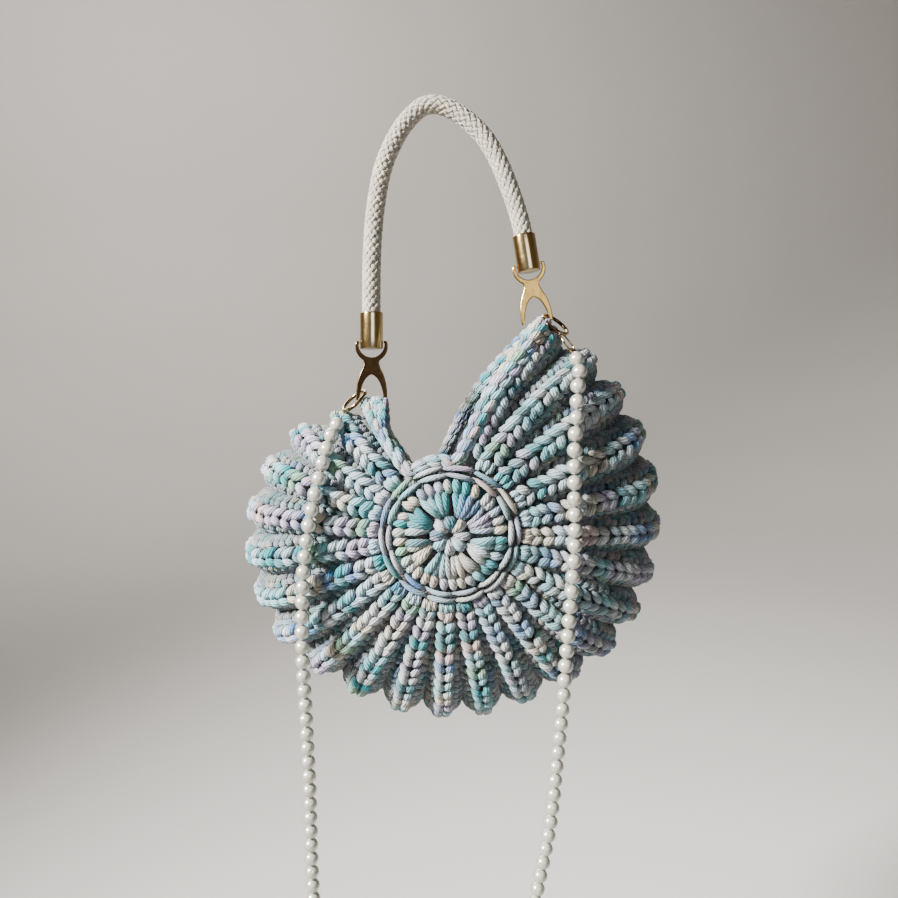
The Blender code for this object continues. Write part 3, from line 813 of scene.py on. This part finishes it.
def ear_web():
    """Rows that close the mouth's left end under the clip's right leg.

    Row t goes from the front rim to the back rim through a middle point m(t), on the parabola
    p(u) = (1 - u)^2 front + 2 u (1 - u) bend + u^2 back, bend = 2 m - (front + back) / 2.
    The rim's line passes the left ear at its point 36.
    """
    rows = []
    for row, t in enumerate((0.28, 0.52, 0.76, 1.0)):
        front, back = rim_line[round(36 - 25 * t)], rim_line[round(36 + 30 * t)]
        middle = LEFT_EAR + np.array((0.0056 + 0.0116 * t, 0.0004 * t,
                                      0.0068 * t * (1 - t) + 0.0012 * t - 0.0004))
        bend = 2 * middle - (front + back) / 2
        length = np.linalg.norm(front - middle) + np.linalg.norm(back - middle)
        count = round(length / 0.0080)
        for side in (0, 1):
            at = (np.arange(count)[:, None] + 0.5 * side) / count + 0.0118 / length * (STATION - 0.5)
            u = np.clip(at, 0.0, 1.0)[..., None]
            normals = unit(np.array((0.35, 0.0, 0.9)) + np.array((0.0, 1.2, 0.0)) * (u - 0.5))
            sway = np.array((0.0010 * (2 * side - 1), 0.0, 0.0))
            paths = (1 - u) ** 2 * front + 2 * u * (1 - u) * bend + u ** 2 * back
            paths = paths + ARCH[:, None] * (sway + 0.0008 * normals)
            widths = 0.0038 * PLUMP * np.ones_like(at)
            # painted shade at the stitches' ends
            dye = dye_at(940 + 2 * row + side, at * length) * PAINTED_END_SHADE
            rows.append((paths, normals, widths, widths * 0.9, dye))
    return rows


def rim_chains():
    """Six chains of long stitches wound round the rim's line, fuller on the right, and the ear's rows."""
    frame = carried_frame(rim_line, (1.0, 0.0, 0.0))
    total = rim_places[-1]
    swell = 1 + 0.5 * smooth_step((rim_line[:, 0] - 0.020) / 0.025)
    count = int(total / 0.0092)
    rows = []
    for chain in range(6):
        at = ((np.arange(count) + 0.17 * chain) * total / count)[:, None] + 0.0124 * STATION
        swing = math.tau * chain / 6 + (STATION - 0.5) * 0.9 + at * 12.0
        at = at % total
        fat = np.interp(at, rim_places, swell)
        paths, normals = around_path(rim_line, rim_places, frame, at, swing, (0.0022 + 0.0009 * ARCH) * fat)
        widths = 0.0039 * PLUMP * fat
        # painted shade at the stitches' ends
        rows.append((paths, normals, widths, widths * 0.9, dye_at(900 + chain, at) * PAINTED_END_SHADE))
    dress(strands("rim_chains", *gather(rows + ear_web()), yarn), "mouth_rim")


rim_chains()

# %% [markdown]
# ## Rope handle
# A round braid: eight strands wind one way and eight the other, and each goes over and under those it meets.

# %% Places of the fittings
# A cup is its mouth and its base. A row of the rope's path is a share of the way from mouth to mouth, and how
# far behind and above the left cup's mouth the rope is there.
LEFT_CUP = LEFT_EAR + np.array(((0.00908, 0.01000, 0.05911), (0.00908, 0.00600, 0.03491)))
RIGHT_CUP = RIGHT_EAR + np.array(((-0.01750, 0.01200, 0.05868), (-0.01360, 0.00700, 0.03478)))
ROPE_PATH = np.array((
    (0.0000, 0.00100, 0.00720), (0.0050, 0.00499, 0.03745), (0.0297, 0.00994, 0.06689),
    (0.0852, 0.01383, 0.09168), (0.1943, 0.01761, 0.10925), (0.3162, 0.01937, 0.11637),
    (0.3885, 0.01922, 0.11550), (0.4678, 0.01906, 0.11088), (0.5976, 0.01780, 0.09790),
    (0.7364, 0.01453, 0.07787), (0.8295, 0.01134, 0.05814), (0.9068, 0.00719, 0.03602),
    (0.9683, 0.00306, 0.01451),
))


# %% Braid
def cup_depth(cup, depth):
    """A point inside a cup, depth metres below its mouth."""
    return cup[0] + unit(cup[1] - cup[0]) * depth


ROPE_RADIUS, ROPE_LAY, ROPE_IN_CUP = 0.00625, 0.045, 0.018
route = LEFT_CUP[0] + (RIGHT_CUP[0] - LEFT_CUP[0]) * ROPE_PATH[:, :1]
route[:, 1:] += ROPE_PATH[:, 1:]
rope_line, rope_places = resample(catmull(np.concatenate([
    [cup_depth(LEFT_CUP, ROPE_IN_CUP), LEFT_CUP[0]], route,
    [RIGHT_CUP[0], cup_depth(RIGHT_CUP, ROPE_IN_CUP)]]), 10), 0.0009)


def rope_braid(material):
    """Sixteen strands on a cylinder: angle = +-tau s / lay, radius +-cos(8 tau s / lay) as they cross."""
    frame = carried_frame(rope_line, (0.0, -1.0, 0.0))
    phase = np.arange(8)[:, None] / 8 * math.tau
    at = np.broadcast_to(rope_places, (8, len(rope_places)))
    rows = []
    for sense in (-1, 1):
        swing = sense * math.tau * at / ROPE_LAY + phase
        wave = sense * np.cos(8 * math.tau * at / ROPE_LAY)
        out = ROPE_RADIUS - 0.0016 + 0.00050 * wave
        paths, normals = around_path(rope_line, rope_places, frame, at, swing, out)
        # painted shade where a strand dips under the strands it crosses, and a small tone of its own for each
        # strand
        shade = 0.86 + 0.16 * wave + 0.04 * np.sin(phase * 3 + sense)
        dye = np.array((0.45, 0.41, 0.34)) * shade[..., None]
        rows.append((paths, normals, 0.0033 + 0.0004 * wave, np.full(swing.shape, 0.0026), dye))
    dress(strands("rope_braid", *gather(rows), material), "handle_rope")
    core = rope_line[None]
    wide = np.full(core.shape[:2], 2 * ROPE_RADIUS - 0.0030)
    heart = strands("rope_core", core, frame[0][None], wide, wide, np.full(core.shape, 0.30), material, 12)
    dress(heart, "handle_rope")


rope_braid(yarn_material("rope_cotton", ply=0.012, plies=5.0, bump=0.00025))

# %% [markdown]
# ## Brass fittings and pearls
# The brass comes in three copies: the pale turned cups' own with painted reflection bands, one with painted
# light for the right clip, and one with painted shade for the left clip and the rings.

# %% Metal and pearl
def brass_material(name, painted_reflection_stops, rough_low, rough_high, dent=0.0002):
    """Brass whose colour runs through stops from facing the eye (0) to edge-on (1), as painted reflection
    bands of light and dark, a little worn.
    """
    made, tree, shader = new_material(name)
    place = add_node(tree, "ShaderNodeTexCoord")
    scuff = use_group(tree, fibre_group, Position=place.outputs["Object"], Scale=420.0)
    facing = add_node(tree, "ShaderNodeLayerWeight", Blend=0.5)
    facing_painted_light = add_node(tree, "ShaderNodeValToRGB", Fac=facing.outputs["Facing"])
    for share, colour in painted_reflection_stops[1:-1]:
        facing_painted_light.color_ramp.elements.new(share).color = (*colour, 1.0)
    facing_painted_light.color_ramp.elements[0].color = (*painted_reflection_stops[0][1], 1.0)
    facing_painted_light.color_ramp.elements[-1].color = (*painted_reflection_stops[-1][1], 1.0)
    worn = add_node(tree, "ShaderNodeMix", data_type="RGBA", blend_type="MULTIPLY")
    worn.inputs[0].default_value = 0.35
    tree.links.new(facing_painted_light.outputs["Color"], worn.inputs[6])
    tree.links.new(scuff.outputs["Patch"], worn.inputs[7])
    tree.links.new(worn.outputs[2], shader.inputs["Base Color"])
    sockets(shader, Metallic=1.0)
    tree.links.new(remap(tree, scuff.outputs["Height"], rough_low, rough_high), shader.inputs["Roughness"])
    bump_from(tree, shader, scuff.outputs["Patch"], 0.35, dent)
    return made


# the cups' brass: bright and dark bands by facing, as painted reflections
brass = brass_material("polished_brass", (
    (0.0, (0.98, 0.80, 0.50)), (0.035, (0.93, 0.71, 0.39)), (0.10, (0.60, 0.40, 0.16)),
    (0.30, (0.50, 0.31, 0.11)), (0.55, (0.85, 0.62, 0.30)), (1.0, (0.26, 0.14, 0.05))), 0.10, 0.26)
# the same brass with painted shade where it faces the eye and a painted highlight at its edges, for the left
# clip and the rings
brass_painted_shade = brass_material("brass_with_painted_shade", (
    (0.0, (0.13, 0.075, 0.035)), (0.35, (0.20, 0.12, 0.055)), (0.55, (0.60, 0.44, 0.24)),
    (1.0, (0.80, 0.62, 0.36))), 0.16, 0.34, 0.0009)
# the same brass with painted light where it faces the eye, for the right clip
brass_painted_light = brass_material("brass_with_painted_light", (
    (0.0, (0.84, 0.53, 0.15)), (0.25, (0.90, 0.60, 0.22)), (0.50, (0.34, 0.19, 0.06)),
    (1.0, (0.55, 0.36, 0.14))), 0.12, 0.30, 0.0016)

pearl, tree, shader = new_material("ivory_pearl")
place = add_node(tree, "ShaderNodeTexCoord")
cloud = use_group(tree, fibre_group, Position=place.outputs["Object"], Scale=260.0)
# painted shade: the pearl's colour darkens from its middle towards its rim as the surface turns from the eye
facing = add_node(tree, "ShaderNodeLayerWeight", Blend=0.5)
facing_painted_light = add_node(tree, "ShaderNodeMix", data_type="RGBA")
tree.links.new(facing.outputs["Facing"], facing_painted_light.inputs["Factor"])
facing_painted_light.inputs[6].default_value = (0.43, 0.42, 0.34, 1.0)
facing_painted_light.inputs[7].default_value = (0.16, 0.155, 0.125, 1.0)
tree.links.new(facing_painted_light.outputs[2], shader.inputs["Base Color"])
tree.links.new(remap(tree, cloud.outputs["Patch"], 0.30, 0.40), shader.inputs["Roughness"])
sockets(shader, Specular_IOR_Level=1.0, Coat_Weight=1.0, Coat_Roughness=0.18, Coat_IOR=2.3)
bump_from(tree, shader, cloud.outputs["Height"], 0.15, 0.0001)


# %% Cups
def spokes(axis, count):
    """Unit vectors at even angles round an axis."""
    side = unit(np.cross(axis, (0.0, 1.0, 0.0)))
    swing = np.arange(count)[:, None] / count * math.tau
    return side * np.cos(swing) + np.cross(axis, side) * np.sin(swing)


def turned(name, cup, outline, material, sides=56):
    """An outline of radius and height turned round the axis of a cup, base at height 0."""
    axis = unit(cup[0] - cup[1])
    points = cup[1] + outline[:, None, :1] * spokes(axis, sides) + outline[:, None, 1:] * axis
    return mesh_piece(name, points.reshape(-1, 3), grid_quads(len(outline), sides, True), material)


CUP_OUTLINE = np.array((
    (0.0002, 0.0), (0.0066, 0.0), (0.00725, 0.00012), (0.00755, 0.00045), (0.00765, 0.0009),
    (0.00765, 0.0085), (0.00765, 0.0165), (0.00765, 0.0234), (0.00758, 0.0240), (0.00735, 0.02445),
    (0.00712, 0.0244), (0.00700, 0.0240), (0.00695, 0.0200), (0.00695, 0.0045), (0.0002, 0.0042),
))
for label, cup in (("left", LEFT_CUP), ("right", RIGHT_CUP)):
    dress(turned(f"brass_cup_{label}", cup, CUP_OUTLINE, brass), f"cup_{label}")

# %% Rings
RING_RADIUS, RING_WIRE = 0.0095, 0.0013
CAD_WIRE, SEAT_GAP = 0.0009, 0.0003
RINGS = (
    ("left", LEFT_EAR + np.array((-0.00252, -0.00120, 0.00101)), (-0.618, -0.210, 0.760)),
    ("right", RIGHT_EAR + np.array((0.00310, -0.00300, 0.00058)), (0.518, -0.295, 0.790)),
)


def ring_piece(name, centre, normal, radius, wire, node, metal, turns=64, sides=12):
    """A torus: a circle of wire carried round a centre in the plane across the normal."""
    normal = unit(np.array(normal))
    tube = np.arange(sides)[:, None] / sides * math.tau
    out = spokes(normal, turns)[:, None]
    points = centre + out * (radius + wire * np.cos(tube)) + normal * (wire * np.sin(tube))
    quads = grid_quads(turns + 1, sides, True) % (turns * sides)
    dress(mesh_piece(name, points.reshape(-1, 3), quads, metal), node)


for label, centre, normal in RINGS:
    ring_piece(f"ring_{label}", centre, normal, RING_RADIUS, RING_WIRE, f"strap_ring_{label}", brass_painted_shade)


# %% Clips
LOOP_ABOVE_BASE, NECK_BELOW_LOOP = 0.0033, 0.0134


def clip_outline():
    """The clip's outline in its own plane, from the loop's tips down both legs."""
    def on_loop(radius, degrees):
        """A place about the loop's middle."""
        swing = math.radians(degrees)
        return radius * math.cos(swing), NECK_BELOW_LOOP + radius * math.sin(swing)

    inner = [on_loop(0.0087, degrees) for degrees in range(0, -181, -12)]
    outer = [on_loop(*place) for place in (
        (0.0121, -63), (0.0119, -52), (0.0117, -40), (0.0115, -26), (0.0112, -14), (0.0109, -2),
        (0.0107, 10))]
    leg_out = catmull((
        (0.0050, 0.0008), (0.0062, -0.0028), (0.0082, -0.0072), (0.0097, -0.0125), (0.0104, -0.0185),
        (0.0104, -0.0240)), 4).tolist()
    leg_in = catmull((
        (0.0081, -0.0240), (0.0073, -0.0180), (0.0054, -0.0122), (0.0031, -0.0088), (0.0006, -0.0070)),
        4).tolist()
    tip = [(0.00815, NECK_BELOW_LOOP + up) for up in (0.0025, 0.0010)]
    right = [*leg_in[::-1], *leg_out[::-1], *outer, *tip]
    return [*right, *inner, *[(-x, z) for x, z in right[::-1]]]


def clip_piece(name, cup, node, metal):
    """The outline filled and extruded with rounded edges, set on the cup's axis."""
    curve = bpy.data.curves.new(name, "CURVE")
    curve.dimensions = "2D"
    curve.fill_mode = "BOTH"
    curve.extrude = 0.00055
    curve.bevel_depth = 0.00075
    curve.offset = -0.00072
    curve.bevel_resolution = 4
    outline = clip_outline()
    spline = curve.splines.new("POLY")
    spline.points.add(len(outline) - 1)
    spline.points.foreach_set("co", [v for x, z in outline for v in (x, z, 0.0, 1.0)])
    spline.use_cyclic_u = True
    holder = put(name + "_curve", curve)
    graph = bpy.context.evaluated_depsgraph_get()
    mesh = bpy.data.meshes.new_from_object(holder.evaluated_get(graph))
    bpy.data.objects.remove(holder, do_unlink=True)
    axis = unit(cup[0] - cup[1])
    neck = cup[1] + axis * (LOOP_ABOVE_BASE - NECK_BELOW_LOOP)
    across = -unit(np.cross((0.0, -1.0, 0.0), axis))
    thick = np.cross(across, axis)
    flat = np.empty(len(mesh.vertices) * 3)
    mesh.vertices.foreach_get("co", flat)
    flat = flat.reshape(-1, 3)
    points = neck + flat[:, :1] * across + flat[:, 1:2] * axis + flat[:, 2:] * thick
    mesh.vertices.foreach_set("co", points.ravel())
    mesh.materials.clear()
    mesh.materials.append(metal)
    mesh.update()
    dress(put(name, mesh), node)


clip_piece("brass_clip_left", LEFT_CUP, "clip_left", brass_painted_shade)
clip_piece("brass_clip_right", RIGHT_CUP, "clip_right", brass_painted_light)

# %% [markdown]
# Each half of the strap is a string of pearls on a smooth route from its ring to the strap's lowest point.
# Its balls are brought forward where they would sink into the shell.

# %% Strap route
LEFT_STRAND = (
    (-0.0600, -0.0480, -0.2020), (-0.0660, -0.0700, -0.2240), (-0.0748, -0.0820, -0.2649),
    (-0.0790, -0.0830, -0.3060), (-0.0802, -0.0830, -0.3490), (-0.0792, -0.0830, -0.3910),
    (-0.0783, -0.0830, -0.4430), (-0.0780, -0.0830, -0.5180), (-0.0740, -0.0830, -0.5900),
    (-0.0620, -0.0830, -0.6540), (-0.0400, -0.0830, -0.7080), (-0.0170, -0.0830, -0.7360),
    (0.0020, -0.0830, -0.7430),
)
RIGHT_STRAND = (
    (0.0975, -0.0400, -0.1600), (0.0952, -0.0560, -0.1755), (0.0940, -0.0690, -0.1928),
    (0.0928, -0.0780, -0.2100), (0.0930, -0.0830, -0.2380), (0.0939, -0.0830, -0.2690),
    (0.0926, -0.0830, -0.3060), (0.0908, -0.0830, -0.3390), (0.0892, -0.0830, -0.3750),
    (0.0863, -0.0830, -0.4170), (0.0822, -0.0830, -0.4690), (0.0741, -0.0830, -0.5210),
    (0.0660, -0.0830, -0.5900), (0.0540, -0.0830, -0.6540), (0.0370, -0.0830, -0.7080),
    (0.0190, -0.0830, -0.7360), (0.0020, -0.0830, -0.7430),
)
BEAD_RADIUS, BEAD_PITCH, FIRST_STEP = 0.0049, 0.01015, 0.0051


def front_of_shell(x, z):
    """Y of the shell's front under points of the front view, and a far value outside its outline."""
    dx, dz = x - CENTRE[0], z - CENTRE[2]
    angle = np.degrees(np.arctan2(dx, -dz))
    reach, power = profile(angle)
    share = np.maximum((np.hypot(dx, dz) - INNER) / reach, 0.0)
    inside = (share < 1) & (angle > LEFT_EDGE) & (angle < RIGHT_EDGE + FRONT_LEAN)
    y = CENTRE[1] - HALF_DEPTH * (1 - np.minimum(share, 1.0) ** power) ** (1 / power)
    return np.where(inside, y, 1.0)


def clear_of_shell(path, radius, clearance=0.0012):
    """Balls brought forward where they would sink into the shell."""
    limit = path[:, 1]
    for reach in (0.0, 0.4, 0.75, 0.95):
        for swing in np.arange(8) / 8 * math.tau:
            surface = front_of_shell(path[:, 0] + reach * radius * math.cos(swing),
                                     path[:, 2] + reach * radius * math.sin(swing))
            limit = np.minimum(limit, surface - radius * math.sqrt(1 - reach * reach) - clearance)
    return np.stack([path[:, 0], limit, path[:, 2]], axis=-1)


# %% Pearls
def ball(radius, around=18, levels=11):
    """One sphere as a grid of quads, its poles a hair wide."""
    tilt = np.linspace(0.02, math.pi - 0.02, levels)[:, None]
    swing = np.arange(around)[None] / around * math.tau
    points = np.stack([np.sin(tilt) * np.cos(swing), np.sin(tilt) * np.sin(swing),
                       np.cos(tilt) * np.ones_like(swing)], axis=-1) * radius
    return points.reshape(-1, 3), grid_quads(levels, around, True)[:, ::-1]


def strap_half(label, centre, normal, waypoints):
    """Pearls at the middles of equal steps along the route, a thread through them and a link at the ring."""
    path = clear_of_shell(catmull(waypoints, 12), BEAD_RADIUS)
    places = lengths(path)
    count = int(round(places[-1] / BEAD_PITCH))
    centres = read_at((np.arange(count) + 0.5) * (places[-1] - 0.0005) / count, places, path)
    one, quads = ball(BEAD_RADIUS)
    normal = unit(np.array(normal))
    away = path[0] - centre
    away = unit(away - normal * (away @ normal))
    seat = centre + away * (RING_RADIUS + CAD_WIRE + SEAT_GAP)
    towards = unit(seat - path[0])
    centres = np.concatenate([[path[0] + towards * FIRST_STEP], centres])
    count = len(centres)
    points = (centres[:, None] + one[None] * rng.uniform(1.0, 1.025, (count, 1, 1))).reshape(-1, 3)
    faces = (quads[None] + (np.arange(count) * len(one))[:, None, None]).reshape(-1, 4)
    dress(mesh_piece(f"pearls_{label}", points, faces, pearl), f"pearl_strand_{label}")
    gap = np.linalg.norm(seat - centres[0]) - BEAD_RADIUS
    ring_piece(f"end_link_{label}", seat - towards * (gap / 2 - 0.0002), np.cross(towards, (0.2, 1.0, 0.1)),
               gap / 2, 0.00055, f"pearl_strand_{label}", brass)
    line = np.concatenate([[seat - towards * gap], centres])[None]
    thin = np.full(line.shape[:2], 0.0011)
    up = np.broadcast_to(np.array((0.3, -1.0, 0.2)), line.shape)
    thread = strands(f"thread_{label}", line, up, thin, thin, np.full(line.shape, 0.55), thread_cotton)
    dress(thread, f"pearl_strand_{label}")


thread_cotton = yarn_material("thread_cotton", ply=0.0010, plies=2.0, bump=0.0001)
strap_half("left", *RINGS[0][1:], LEFT_STRAND)
strap_half("right", *RINGS[1][1:], RIGHT_STRAND)
